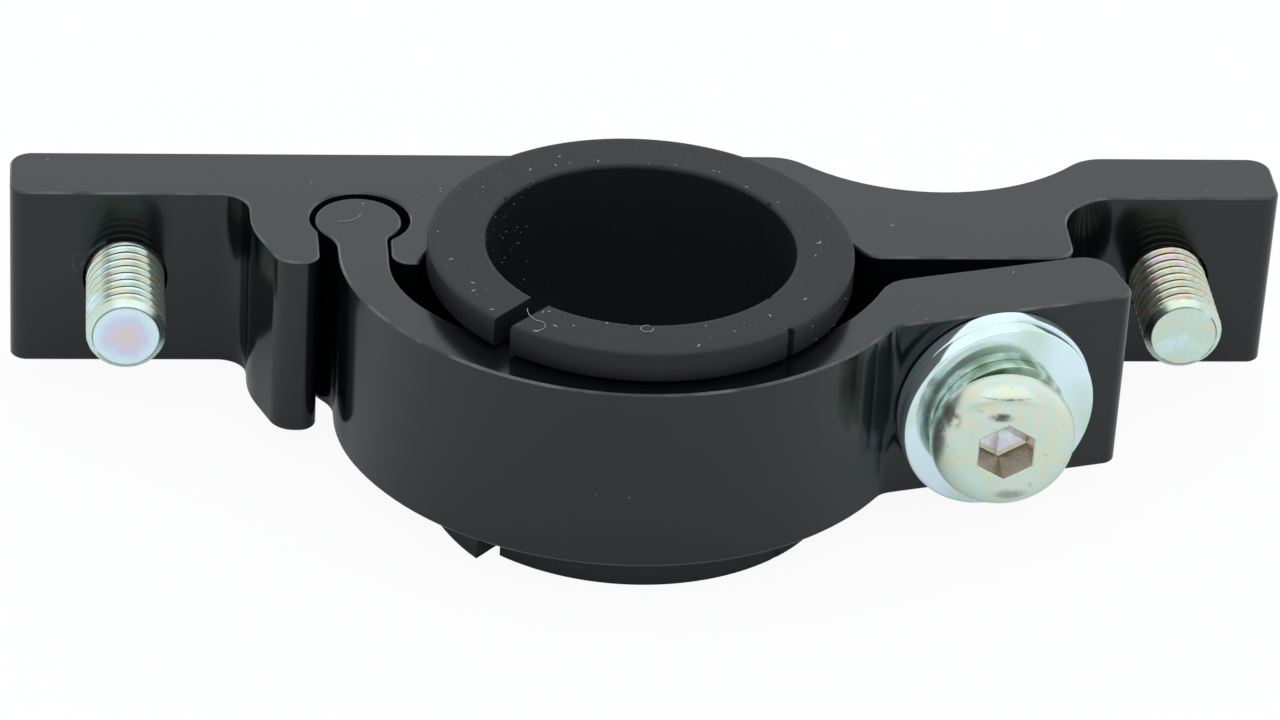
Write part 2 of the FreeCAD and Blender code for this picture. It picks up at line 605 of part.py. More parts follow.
def place_parts(parts):
    """Sets the bolts and washers in their seats; the other sub-parts are drawn in place."""
    named = {part.body.Label: part.body for part in parts}
    tilt = parts[0].size("ear_tilt")
    facing_front = FreeCAD.Rotation(FreeCAD.Vector(1, 0, 0), QUARTER_TURN)
    facing_back = FreeCAD.Rotation(FreeCAD.Vector(1, 0, 0), -QUARTER_TURN)
    on_ear = FreeCAD.Rotation(FreeCAD.Vector(0, 0, 1), tilt).multiply(facing_front)
    bolt_x = cell("clamp_bolt_x")

    def on_bolt(back_y, thickness):
        """Seat of a tilted ring whose middle lies on the bolt's axis."""
        half, angle = cell(thickness) + " / 2", cell("ear_tilt") + " * 1 deg"
        x = f"{bolt_x} - {half} * sin({angle})"
        y = f"{cell(back_y)} - {half} / cos({angle}) + {half} * cos({angle})"
        return (x, y, on_ear)

    seats = {
        "clamp_bolt": (bolt_x, cell("clamp_head_y"), facing_front),
        "lock_washer": on_bolt("lock_washer_y", "lock_washer_thickness"),
        "front_washer": on_bolt("front_washer_y", "washer_thickness"),
        "rear_washer": on_bolt("rear_washer_y", "washer_thickness"),
        "cage_bolt_left": (cell("cage_left_x"), cell("cage_left_head_y"), facing_back),
        "cage_bolt_right": (cell("cage_right_x"), cell("cage_right_head_y"), facing_back),
    }
    for label, (x, y, rotation) in seats.items():
        body = named[label]
        body.Placement = FreeCAD.Placement(FreeCAD.Vector(), rotation)
        body.setExpression("Placement.Base.x", x)
        body.setExpression("Placement.Base.y", y)


def check(doc, parts):
    """Stops if a feature failed or a sub-part is not one sound solid."""
    for item in doc.Objects:
        if "Invalid" in item.State or "Error" in item.State:
            raise RuntimeError(f"{item.Label} failed: {item.State}")
    for part in parts:
        shape = part.body.Shape
        if shape.isNull() or not shape.isValid() or len(shape.Solids) != 1:
            raise RuntimeError(f"{part.body.Label} is not one valid solid")


def main():
    doc = FreeCAD.newDocument("BottleCageAdapter")
    sheet = make_sheet(doc)
    parts = [
        base_bracket(doc, sheet),
        clamp_arm(doc, sheet),
        rubber_sleeve(doc, sheet),
        button_bolt(doc, sheet, "clamp_bolt", "clamp_bolt_length"),
        lock_washer(doc, sheet),
        flat_washer(doc, sheet, "front_washer"),
        flat_washer(doc, sheet, "rear_washer"),
        button_bolt(doc, sheet, "cage_bolt_left", "cage_bolt_length"),
        button_bolt(doc, sheet, "cage_bolt_right", "cage_bolt_length"),
    ]
    place_parts(parts)
    doc.recompute()
    check(doc, parts)
    os.makedirs("parts", exist_ok=True)
    for part in parts:
        shape = part.body.Shape
        shape.exportStep(f"parts/{part.body.Label}.step")
        box = shape.BoundBox
        print(f"{part.body.Label}: {shape.Volume:.1f} mm3, x {box.XMin:.2f}..{box.XMax:.2f}, "
              f"y {box.YMin:.2f}..{box.YMax:.2f}, z {box.ZMin:.2f}..{box.ZMax:.2f}")


main()
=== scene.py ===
"""Dresses the bottle cage adapter: satin black extrusions, a matte rubber sleeve and zinc-plated bolts."""
import math

import bmesh
import bpy
from mathutils import Matrix, Vector


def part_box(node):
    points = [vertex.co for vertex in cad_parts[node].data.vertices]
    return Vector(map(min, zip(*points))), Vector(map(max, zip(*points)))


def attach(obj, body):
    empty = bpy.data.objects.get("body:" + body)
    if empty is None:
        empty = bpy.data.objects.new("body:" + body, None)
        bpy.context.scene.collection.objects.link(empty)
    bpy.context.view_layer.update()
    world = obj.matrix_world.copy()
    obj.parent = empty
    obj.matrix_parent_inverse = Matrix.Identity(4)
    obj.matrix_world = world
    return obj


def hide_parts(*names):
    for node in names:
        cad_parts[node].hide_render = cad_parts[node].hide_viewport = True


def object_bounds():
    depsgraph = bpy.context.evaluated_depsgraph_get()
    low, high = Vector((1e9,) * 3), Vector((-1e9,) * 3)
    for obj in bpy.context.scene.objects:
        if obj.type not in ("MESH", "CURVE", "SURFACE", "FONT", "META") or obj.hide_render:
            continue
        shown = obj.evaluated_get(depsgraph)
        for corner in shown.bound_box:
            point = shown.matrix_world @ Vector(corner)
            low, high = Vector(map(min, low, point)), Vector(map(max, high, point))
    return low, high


bl_info = {
    "name": "Bottle Cage Adapter",
    "version": (1, 0, 0),
    "blender": (4, 5, 0),
    "location": "View3D > Sidebar > Adapter",
    "description": "Dresses the bottle cage adapter and sets its stage",
    "category": "Object",
}

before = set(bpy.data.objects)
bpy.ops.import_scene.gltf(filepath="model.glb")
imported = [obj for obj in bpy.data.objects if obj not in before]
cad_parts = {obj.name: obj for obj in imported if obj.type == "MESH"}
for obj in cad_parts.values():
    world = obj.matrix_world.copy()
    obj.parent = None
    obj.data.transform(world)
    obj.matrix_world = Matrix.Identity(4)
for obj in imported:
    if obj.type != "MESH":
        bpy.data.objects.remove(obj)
CAD_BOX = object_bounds()
MM = 0.001
TURN = 2 * math.pi

# Points nearer than these are one, in metres
CAD_WELD, SHANK_WELD = 1e-6, 2e-6
# Seams flatter than the first go, and edges steeper than the others stay sharp
FLAT_SEAM = math.radians(0.4)
SHARP_EXTRUSION, SHARP_RUBBER, SHARP_PLATED = math.radians(60), math.radians(48), math.radians(40)

# Turns that lay a piece drawn along Z on its axis in the shared frame
EAR_TILT = math.radians(13.5)
FACING_FRONT = Matrix.Rotation(TURN / 4, 4, "X")
FACING_BACK = Matrix.Rotation(-TURN / 4, 4, "X")
ON_EAR = Matrix.Rotation(EAR_TILT, 4, "Z") @ FACING_FRONT


def middle(node):
    """Centre of a node's box."""
    low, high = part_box(node)
    return (low + high) / 2


# Settings

def length_setting(name, description, size):
    """Length with a default in millimetres."""
    return bpy.props.FloatProperty(name=name, description=description, unit="LENGTH", default=size * MM)


def angle_setting(name, description, degrees):
    """Angle with a default in degrees."""
    return bpy.props.FloatProperty(
        name=name, description=description, subtype="ANGLE", default=math.radians(degrees))


def share_setting(name, description, share):
    return bpy.props.FloatProperty(
        name=name, description=description, subtype="FACTOR", min=0, max=1, default=share)


def colour_setting(name, description, tone):
    return bpy.props.FloatVectorProperty(
        name=name, description=description, subtype="COLOR", size=3, min=0, max=1, default=tone)


class FinishSettings(bpy.types.PropertyGroup):
    """Colours and gloss of the three finishes."""
    anodised: colour_setting("Anodised", "Colour of the anodised extrusions", (0.0017, 0.0026, 0.0032))
    anodised_gloss: share_setting("Anodised roughness", "Roughness of the anodised skin", 0.14)
    rubber: colour_setting("Rubber", "Colour of the rubber sleeve", (0.0040, 0.0046, 0.0048))
    dust: colour_setting("Dust", "Colour of the dust and fibres", (0.52, 0.54, 0.55))


class EdgeSettings(bpy.types.PropertyGroup):
    """Rounding of the extrusions' broken edges."""
    rounding: length_setting("Rounding", "Width of the rounding on each sharp edge", 0.05)
    sharp: angle_setting("Sharp from", "Edges steeper than this are rounded", 33)


class ThreadSettings(bpy.types.PropertyGroup):
    """The coarse thread of the three bolts."""
    radius: length_setting("Radius", "Radius over the crests", 2.38)
    pitch: length_setting("Pitch", "Distance between crests", 0.8)
    depth: length_setting("Depth", "Height of the thread", 0.42)
    crest: share_setting("Crest", "Share of the pitch that is crest", 0.14)
    chamfer: length_setting("Chamfer", "Chamfer of the end", 0.38)


class HeadSettings(bpy.types.PropertyGroup):
    """Low button head with its hexagon socket."""
    radius: length_setting("Radius", "Radius of the head", 4.3)
    height: length_setting("Height", "Height of the head", 2.0)
    shoulder: length_setting("Shoulder", "Radius of the rounded shoulder", 1.75)
    hexagon: length_setting("Hexagon", "Socket across its flats", 3.2)
    depth: length_setting("Depth", "Depth of the socket", 2.6)


class SleeveSettings(bpy.types.PropertyGroup):
    """Flanged rubber sleeve with its slit and notch."""
    bore: length_setting("Bore", "Inside radius", 9.2)
    body: length_setting("Body", "Outside radius between the flanges", 10.25)
    flange: length_setting("Flange", "Radius of the flanges", 12.65)
    half_height: length_setting("Half height", "Half of the overall height", 7.95)
    shelf: length_setting("Shelf", "Height of the flanges' inner faces", 6.09)
    slit: angle_setting("Slit", "Direction of the slit", -134)
    notch: angle_setting("Notch", "Direction of the rim notch", -51)


class StageSettings(bpy.types.PropertyGroup):
    """Floor and camera."""
    floor: colour_setting("Floor", "Colour of the floor", (0.9, 0.9, 0.9))
    lens: bpy.props.FloatProperty(
        name="Lens", description="Focal length on a 36 mm sensor, in millimetres", unit="CAMERA",
        default=163.0076)


# Shader building

class Term:
    """A socket that takes part in Python arithmetic by adding Math nodes to its tree."""

    def __init__(self, paint, socket):
        self.paint = paint
        self.socket = socket

    def math(self, operation, *others):
        return self.paint.node("Math", {"operation": operation}, dict(enumerate((self,) + others)))

    def __add__(self, other):
        return self.math("ADD", other)

    def __sub__(self, other):
        return self.math("SUBTRACT", other)

    def __rsub__(self, other):
        return self.paint.node("Math", {"operation": "SUBTRACT"}, {0: other, 1: self})

    def __mul__(self, other):
        return self.math("MULTIPLY", other)

    def __truediv__(self, other):
        return self.math("DIVIDE", other)

    def __pow__(self, other):
        return self.math("POWER", other)

    def __gt__(self, other):
        return self.math("GREATER_THAN", other)

    def __lt__(self, other):
        return self.math("LESS_THAN", other)

    __radd__ = __add__
    __rmul__ = __mul__

    def most(self, other):
        return self.math("MAXIMUM", other)

    def least(self, other):
        return self.math("MINIMUM", other)

    def size(self):
        return self.math("ABSOLUTE")


class Paint:
    """One material, or the world, and the nodes it is made of."""

    def __init__(self, name, holder=None):
        self.holder = holder or bpy.data.materials.new(name)
        self.holder.use_nodes = True
        self.tree = self.holder.node_tree
        self.tree.nodes.clear()

    def node(self, kind, settings=None, inputs=None, out=0):
        """Adds a node: its settings first, then the values or links of its sockets."""
        made = self.tree.nodes.new("ShaderNode" + kind)
        for name, value in (settings or {}).items():
            if name == "stops":
                self.set_stops(made.color_ramp, value)
            else:
                setattr(made, name, value)
        for name, value in (inputs or {}).items():
            self.feed(made.inputs[name], value)
        return Term(self, made.outputs[out])

    @staticmethod
    def set_stops(ramp, stops):
        while len(ramp.elements) < len(stops):
            ramp.elements.new(1.0)
        for element, (place, colour) in zip(ramp.elements, stops):
            element.position = place
            element.color = tuple(colour) + (1.0,)

    def feed(self, socket, value):
        if isinstance(value, Term):
            self.tree.links.new(value.socket, socket)
        elif hasattr(value, "__len__") and len(value) == 3 and len(socket.default_value) == 4:
            socket.default_value = tuple(value) + (1.0,)
        else:
            socket.default_value = value

    def place(self):
        """Object coordinates in millimetres."""
        spot = self.node("TexCoord", out="Object")
        return self.node("VectorMath", {"operation": "SCALE"}, {"Vector": spot, "Scale": 1 / MM})

    def stretched(self, place, factors):
        """Coordinates whose pattern is drawn out where a factor is small."""
        return self.node("VectorMath", {"operation": "MULTIPLY"}, {0: place, 1: factors})

    def parts(self, vector):
        split = self.node("SeparateXYZ", None, {"Vector": vector})
        return [Term(self, out) for out in split.socket.node.outputs]

    def noise(self, place, scale, detail=3.0, rough=0.5):
        return self.node("TexNoise", None, {"Vector": place, "Scale": scale, "Detail": detail,
                                            "Roughness": rough})

    def ramp(self, value, low, high):
        """Smooth step from 0 at low to 1 at high."""
        return self.node("MapRange", {"interpolation_type": "SMOOTHSTEP"},
                         {"Value": value, "From Min": low, "From Max": high})

    def mix(self, factor, first, second):
        """Colour between two others."""
        return self.node("Mix", {"data_type": "RGBA"}, {0: factor, 6: first, 7: second}, out=2)

    def bump(self, height, distance):
        return self.node("Bump", None, {"Height": height, "Distance": distance})

    def surface(self, inputs):
        shader = self.node("BsdfPrincipled", None, inputs)
        self.output(shader)
        return self.holder

    def output(self, shader, kind="OutputMaterial"):
        end = self.tree.nodes.new("ShaderNode" + kind)
        self.tree.links.new(shader.socket, end.inputs["Surface"])


# Finishes

# Rub marks left of the left cage bolt: across, height, radius and width of each ring, in millimetres
SCUFFS = ((-30.25, 0.0, 2.75, 0.14), (-32.9, 1.0, 0.55, 0.05), (-33.0, 0.85, 0.75, 0.05))
SCUFFED_TO = (-31.4, 9.5)  # how far right and how far back the marks reach
SCUFF_TONE, SCUFF_SHARE = (0.10, 0.105, 0.11), 0.45
BROKEN_EDGE = (0.004, 0.13)  # how far below the sawn ends the broken edges lie, in millimetres
EDGE_HIGHLIGHT_TONE, LEAST_EDGE_HIGHLIGHT = (0.095, 0.10, 0.105), 0.22  # painted highlight on the broken edges: its tone, and the least share of it that an edge gets


def anodised_black(settings):
    """Satin anodising: a fine grain on the sawn ends, faint lines along the walls and a painted highlight
    on the broken edges.
    """
    paint = Paint("anodised_black")
    place = paint.place()
    up = paint.parts(paint.node("TexCoord", out="Normal"))[2].size()
    ends = paint.ramp(up, 0.6, 0.9)
    grain = paint.noise(place, scale=9.0, detail=4.0)
    lines = paint.noise(paint.stretched(place, (7.0, 7.0, 0.12)), scale=1.0)
    saw = paint.noise(paint.stretched(place, (0.25, 9.0, 1.0)), scale=1.0)
    cloud = paint.noise(place, scale=0.16, detail=2.0)
    scuff = scuffs(paint, place)
    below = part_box("base_bracket")[1].z / MM - paint.parts(place)[2].size()
    # Painted highlight: the broken edges just below the sawn ends are lightened, by a share that drifts
    # along them
    edge_highlight_share = LEAST_EDGE_HIGHLIGHT + paint.ramp(paint.noise(place, scale=0.4), 0.34, 0.66) * (1 - LEAST_EDGE_HIGHLIGHT)
    edge = (below < BROKEN_EDGE[1]) * (below > BROKEN_EDGE[0]) * edge_highlight_share
    tone = paint.mix(cloud, settings.anodised, [value * 1.7 for value in settings.anodised])
    tone = paint.mix(edge, tone, EDGE_HIGHLIGHT_TONE)
    tone = paint.mix(scuff * SCUFF_SHARE, tone, SCUFF_TONE)
    rough = settings.anodised_gloss + (cloud - 0.5) * 0.05 + (grain - 0.5) * 0.06
    rough = rough + ends * 0.05 + scuff * 0.2
    height = ends * (grain * 0.5 + saw * 0.5) + (1 - ends) * (lines * 0.5 + grain * 0.2)
    return paint.surface({
        "Base Color": tone, "Roughness": rough, "IOR": 1.5,
        "Normal": paint.bump(height, 0.0008 * MM)})


def scuffs(paint, place):
    """Rub marks on the plate's front: an arc at the left bolt's hole and a small swirl beside it."""
    x, y, z = paint.parts(place)
    broken = paint.ramp(paint.noise(place, scale=1.7), 0.46, 0.60)
    marks = 0.0
    for across, height, radius, width in SCUFFS:
        away = ((x - across) ** 2.0 + (z - height) ** 2.0) ** 0.5
        marks = (1 - paint.ramp((away - radius).size(), 0.02, width)) * broken + marks
    return (marks * (x < SCUFFED_TO[0]) * (y < SCUFFED_TO[1])).least(1.0)


def sleeve_rubber(name, settings, ior, light_lift, specks):
    """Matte moulded rubber with a bloom, its colour lifted by a factor that paints light where it is above
    1, and a share of fine pale specks.
    """
    paint = Paint(name)
    place = paint.place()
    grain = paint.noise(place, scale=6.0, detail=5.0, rough=0.6)
    cloud = paint.noise(place, scale=0.35)
    cells = paint.node("TexVoronoi", {"feature": "F1"}, {"Vector": place, "Scale": 2.4}, out="Distance")
    strewn = paint.ramp(paint.noise(place, scale=0.7, detail=2.0), 0.48, 0.60)
    speck = strewn * (1 - paint.ramp(cells, 0.03, 0.075))
    dark = [value * light_lift for value in settings.rubber]
    tone = paint.mix(cloud, dark, [value * 1.35 for value in dark])
    tone = paint.mix(speck * specks, tone, settings.dust)
    return paint.surface({
        "Base Color": tone, "Roughness": 0.50 + (grain - 0.5) * 0.16, "IOR": ior,
        "Normal": paint.bump(grain, 0.012 * MM)})


ZINC_TINTS = {
    "mint": (0.63, 0.77, 0.67),
    "straw": (0.74, 0.74, 0.56),
    "gold": (0.70, 0.62, 0.42),
    "pearl": (0.70, 0.76, 0.68),
    "blush": (0.80, 0.67, 0.73),
    "lilac": (0.68, 0.73, 0.90),
    "ice": (0.78, 0.92, 0.97),
    "bronze": (0.76, 0.63, 0.54),
    "olive": (0.62, 0.62, 0.47),
    # Dark green: the plating's own green, darkened as painted shade for the lock washer under the head
    "shaded_moss": (0.17, 0.25, 0.13),
    # Near black: painted shade in the threads' grooves, and the dark line round the bolt ends
    "near_black": (0.045, 0.05, 0.045),
}
# Tone of the smudges, and of the painted dark reflections placed on the clamp bolt's head
SMUDGE_AND_REFLECTION_TONE = (0.13, 0.14, 0.13)


def zinc_stops(tints, low, high):
    """Ramp stops that space the tints evenly between two places."""
    step = (high - low) / (len(tints) - 1)
    return [(low + step * index, ZINC_TINTS[tint]) for index, tint in enumerate(tints)]


def zinc_plated(name, tints, rough, smudge, scale, metal=0.85, mottle=0.12, dark_marks=()):
    """Bright zinc whose passivation drifts between pale tints, with strewn smudges and placed dark marks,
    each a smudge or a painted reflection as the caller lists it.
    """
    paint = Paint(name)
    place = paint.place()
    drift = paint.noise(place, scale, detail=1.0)
    fine = paint.noise(place, scale=7.0, detail=4.0, rough=0.6)
    stops = zinc_stops(tints, 0.32, 0.68)
    tone = paint.node("ValToRGB", {"stops": stops}, {"Fac": drift + (fine - 0.5) * mottle})
    cloud = paint.noise(place, scale=1.3, detail=4.0, rough=0.65)
    spots = paint.ramp(cloud, 0.62, 0.72) * smudge
    x, _, z = paint.parts(place)
    for across, height, wide, tall, strength in dark_marks:
        away = (((x - across) / wide) ** 2.0 + ((z - height) / tall) ** 2.0) ** 0.5
        placed_mark = (1 - paint.ramp(away, 0.3, 1.0)) * paint.ramp(cloud, 0.34, 0.54)
        spots = spots.most(placed_mark * strength)
    tone = paint.mix(spots, tone, SMUDGE_AND_REFLECTION_TONE)
    return paint.surface({
        "Base Color": tone, "Metallic": metal, "Roughness": rough + (fine - 0.5) * 0.12 + spots * 0.2,
        "Normal": paint.bump(fine, 0.003 * MM)})


def zinc_tip(left, right, rim):
    """Flat bolt ends with a dark rim: the left one tinted in rings, the right one in patches."""
    paint = Paint("zinc_tip")
    place = paint.place()
    x, _, z = paint.parts(place)
    centre, half = (left + right) / 2 / MM, (right - left) / 2 / MM
    ring = (((x - centre).size() - half) ** 2.0 + z ** 2.0) ** 0.5
    drift = paint.noise(place, scale=0.7, detail=2.0)
    fine = paint.noise(place, scale=9.0, detail=4.0, rough=0.7)
    patchy = x > centre
    value = ring * (0.34 - patchy * 0.28) + (drift - 0.5) * (0.35 + patchy * 0.2)
    value = value + patchy * 0.72 + (fine - 0.5) * 0.35
    stops = zinc_stops(("straw", "blush", "lilac", "ice", "mint", "straw"), 0.05, 0.98)
    tone = paint.node("ValToRGB", {"stops": stops}, {"Fac": value})
    brink = 1 - paint.ramp((ring - rim / MM).size(), 0.02, 0.07)
    tone = paint.mix(brink * paint.ramp(drift, 0.3, 0.5) * 0.7, tone, ZINC_TINTS["near_black"])
    return paint.surface({
        "Base Color": tone, "Metallic": 1.0, "Roughness": 0.26 + (fine - 0.5) * 0.2,
        "Normal": paint.bump(fine, 0.006 * MM)})


def dust_white(settings):
    """Pale lint."""
    paint = Paint("dust_white")
    cloud = paint.noise(paint.place(), scale=2.0, detail=2.0)
    tone = paint.mix(cloud, settings.dust, [value * 0.6 for value in settings.dust])
    return paint.surface({"Base Color": tone, "Roughness": 0.9})


# Meshes

def add_piece(name, mesh, body, materials, replaced=()):
    """Links a finished mesh as a piece that rides on a body."""
    piece = bpy.data.objects.new(name, mesh)
    bpy.context.scene.collection.objects.link(piece)
    for material in materials[len(mesh.materials):]:
        mesh.materials.append(material)
    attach(piece, body)
    if replaced:
        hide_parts(*replaced)


def smooth(mesh, angle):
    """Smooth shading that keeps edges steeper than an angle."""
    mesh.polygons.foreach_set("use_smooth", [True] * len(mesh.polygons))
    mesh.set_sharp_from_angle(angle=angle)


def polar(r, z, angle):
    """Point at a radius, a height and an angle about Z."""
    return (r * math.cos(angle), r * math.sin(angle), z)


def bridge(shape, here, there):
    """Faces between two closed rings of points."""
    corners = zip(here, there, there[1:] + there[:1], here[1:] + here[:1])
    return [shape.faces.new(face) for face in corners]


def cut_ring(shape, rings):
    """Walls through a row of rings and a face on either side of the cut."""
    walls = [bridge(shape, here, there) for here, there in zip(rings, rings[1:])]
    shape.faces.new(rings[0])
    shape.faces.new(rings[-1])
    return walls


def lathe(points, steps, name):
    """Closed ring about Z from a closed outline of radius and height."""
    shape = bmesh.new()
    rings = []
    for step in range(steps):
        angle = TURN * step / steps
        rings.append([shape.verts.new(polar(r, z, angle)) for r, z in points])
    for here, there in zip(rings, rings[1:] + rings[:1]):
        bridge(shape, here, there)
    return finish_mesh(shape, name)


def finish_mesh(shape, name):
    """Mesh of a finished shape, with its faces outwards."""
    bmesh.ops.recalc_face_normals(shape, faces=shape.faces)
    mesh = bpy.data.meshes.new(name)
    shape.to_mesh(mesh)
    shape.free()
    return mesh


def rounded(corners, steps=5):
    """Outline with an arc at each corner: corners are (x, y, radius)."""
    outline = []
    count = len(corners)
    for index, (x, y, radius) in enumerate(corners):
        here = Vector((x, y))
        if radius <= 0:
            outline.append((x, y))
            continue
        before = (Vector(corners[index - 1][:2]) - here).normalized()
        after = (Vector(corners[(index + 1) % count][:2]) - here).normalized()
        half = before.angle(after) / 2
        centre = here + (before + after).normalized() * radius / math.sin(half)
        start = here + before * radius / math.tan(half) - centre
        stop = here + after * radius / math.tan(half) - centre
        sweep = start.angle_signed(stop)
        for step in range(steps + 1):
            turn = Matrix.Rotation(-sweep * step / steps, 2)
            outline.append(tuple(centre + turn @ start))
    return outline


def cad_copy(node, edges):
    """The node's mesh with its triangles joined and its sharp edges rounded."""
    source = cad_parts[node].data
    shape = bmesh.new()
    shape.from_mesh(source)
    bmesh.ops.remove_doubles(shape, verts=shape.verts, dist=CAD_WELD)
    bmesh.ops.dissolve_limit(shape, angle_limit=FLAT_SEAM, verts=shape.verts, edges=shape.edges)
    mesh = bpy.data.meshes.new(node + "_dressed")
    shape.to_mesh(mesh)
    shape.free()
    smooth(mesh, SHARP_EXTRUSION)
    holder = bpy.data.objects.new(node + "_work", mesh)
    bpy.context.scene.collection.objects.link(holder)
    bevel = holder.modifiers.new("Edges", "BEVEL")
    bevel.width = edges.rounding
    bevel.segments = 2
    bevel.limit_method = "ANGLE"
    bevel.angle_limit = edges.sharp
    normals = holder.modifiers.new("Normals", "WEIGHTED_NORMAL")
    normals.keep_sharp = True
    return settle(holder, node + "_dressed")


def settle(holder, name):
    """Plain mesh from an object's live modifiers; the object goes."""
    ready = holder.evaluated_get(bpy.context.evaluated_depsgraph_get())
    mesh = bpy.data.meshes.new_from_object(ready)
    mesh.name = name
    worn = holder.data
    bpy.data.objects.remove(holder)
    if worn and worn.users == 0:
        bpy.data.meshes.remove(worn)
    return mesh


# Geometry node trees

class Tree:
    """A geometry node tree with named inputs."""

    def __init__(self, name):
        self.group = bpy.data.node_groups.new(name, "GeometryNodeTree")
        self.group.interface.new_socket("Geometry", in_out="INPUT", socket_type="NodeSocketGeometry")
        self.group.interface.new_socket("Geometry", in_out="OUTPUT", socket_type="NodeSocketGeometry")
        self.inputs = self.group.nodes.new("NodeGroupInput")
        self.output = self.group.nodes.new("NodeGroupOutput")

    def option(self, name, kind):
        self.group.interface.new_socket(name, in_out="INPUT", socket_type="NodeSocket" + kind)
        return self.inputs.outputs[name]

    def node(self, kind, settings=None, inputs=None, out=0):
        made = self.group.nodes.new(kind)
        for name, value in (settings or {}).items():
            setattr(made, name, value)
        for name, value in (inputs or {}).items():
            if isinstance(value, bpy.types.NodeSocket):
                self.group.links.new(value, made.inputs[name])
            else:
                made.inputs[name].default_value = value
        return made.outputs[out]

    def math(self, operation, *terms):
        return self.node("ShaderNodeMath", {"operation": operation}, dict(enumerate(terms)))

    def close(self, geometry, material):
        whole = self.node("GeometryNodeRealizeInstances", None, {"Geometry": geometry})
        painted = self.node("GeometryNodeSetMaterial", None, {"Geometry": whole, "Material": material})
        self.group.links.new(painted, self.output.inputs["Geometry"])

    def grow(self, name, values, base=None):
        """Mesh that the tree makes from these inputs, on a base mesh where one is given."""
        holder = bpy.data.objects.new(name + "_work", base or bpy.data.meshes.new(name + "_empty"))
        bpy.context.scene.collection.objects.link(holder)
        modifier = holder.modifiers.new("Grow", "NODES")
        modifier.node_group = self.group
        for socket in self.group.interface.items_tree:
            if socket.in_out == "INPUT" and socket.name in values:
                modifier[socket.identifier] = values[socket.name]
        return settle(holder, name)


RUN_OUT = 0.45  # share of a pitch over which a thread runs out at the end's chamfer
FULL_DEPTH = 0.9  # share of half a pitch, from a crest's middle, where a groove reaches its depth
FACING = 0.9  # least cosine between a dusty face's normal and the way that it should look
SPECK_HEIGHT = 0.5  # height of a speck as a share of its width
FIBRE_POINTS, FIBRE_SIDES = 40, 8


def thread_tree():
    """A threaded shank along -Z from the origin, in rows that follow the helix, with a chamfered end."""
    tree = Tree("ThreadedShank")
    radius, pitch = tree.option("Radius", "Float"), tree.option("Pitch", "Float")
    depth, length = tree.option("Depth", "Float"), tree.option("Length", "Float")
    chamfer, material = tree.option("Chamfer", "Float"), tree.option("Material", "Material")
    crest = tree.option("Crest", "Float")
    around, turns, rows = (tree.option(name, "Int") for name in ("Around", "Turns", "Rows"))
    along = tree.math("ADD", tree.math("MULTIPLY", turns, rows), 1.0)
    strip = tree.node("GeometryNodeMeshGrid", None,
                      {"Size X": 1.0, "Size Y": 1.0, "Vertices X": along, "Vertices Y": around})
    spot = tree.node("GeometryNodeInputPosition")
    split = tree.node("ShaderNodeSeparateXYZ", None, {"Vector": spot}).node
    row = tree.math("MULTIPLY", tree.math("ADD", split.outputs["X"], 0.5), turns)
    turn = tree.math("ADD", split.outputs["Y"], 0.5)
    helix = tree.math("MULTIPLY", tree.math("SUBTRACT", row, turn), pitch)
    down = tree.math("MINIMUM", tree.math("MAXIMUM", helix, 0.0), length)
    phase = tree.math("FRACT", row)
    wave = tree.math("ABSOLUTE", tree.math("SUBTRACT", tree.math("MULTIPLY", phase, 2.0), 1.0))
    groove = tree.node("ShaderNodeMapRange", None,
                       {"Value": wave, "From Min": crest, "From Max": FULL_DEPTH})
    left = tree.math("SUBTRACT", length, down)
    plain = tree.math("DIVIDE", tree.math("SUBTRACT", left, chamfer), tree.math("MULTIPLY", pitch, RUN_OUT))
    fade = tree.math("MINIMUM", tree.math("MAXIMUM", plain, 0.0), 1.0)
    cut = tree.math("MULTIPLY", tree.math("MULTIPLY", groove, depth), fade)
    thread = tree.math("SUBTRACT", radius, cut)
    end = tree.math("ADD", tree.math("SUBTRACT", radius, chamfer), left)
    reach = tree.math("MINIMUM", thread, end)
    angle = tree.math("MULTIPLY", turn, TURN)
    x = tree.math("MULTIPLY", reach, tree.math("COSINE", angle))
    y = tree.math("MULTIPLY", reach, tree.math("SINE", angle))
    z = tree.math("MULTIPLY", down, -1.0)
    place = tree.node("ShaderNodeCombineXYZ", None, {"X": x, "Y": y, "Z": z})
    shank = tree.node("GeometryNodeSetPosition", None, {"Geometry": strip, "Position": place})
    faces = tree.math("SUBTRACT", around, 1.0)
    disc = tree.node("GeometryNodeMeshCircle", {"fill_type": "NGON"},
                     {"Vertices": faces, "Radius": tree.math("SUBTRACT", radius, chamfer)})
    foot = tree.node("ShaderNodeCombineXYZ", None, {"Z": tree.math("MULTIPLY", length, -1.0)})
    tip = tree.node("GeometryNodeTransform", None, {"Geometry": disc, "Translation": foot})
    joined = tree.node("GeometryNodeJoinGeometry")
    for part in (tip, shank):
        tree.group.links.new(part, joined.node.inputs["Geometry"])
    whole = tree.node("GeometryNodeMergeByDistance", None, {"Geometry": joined, "Distance": SHANK_WELD})
    tree.close(whole, material)
    return tree


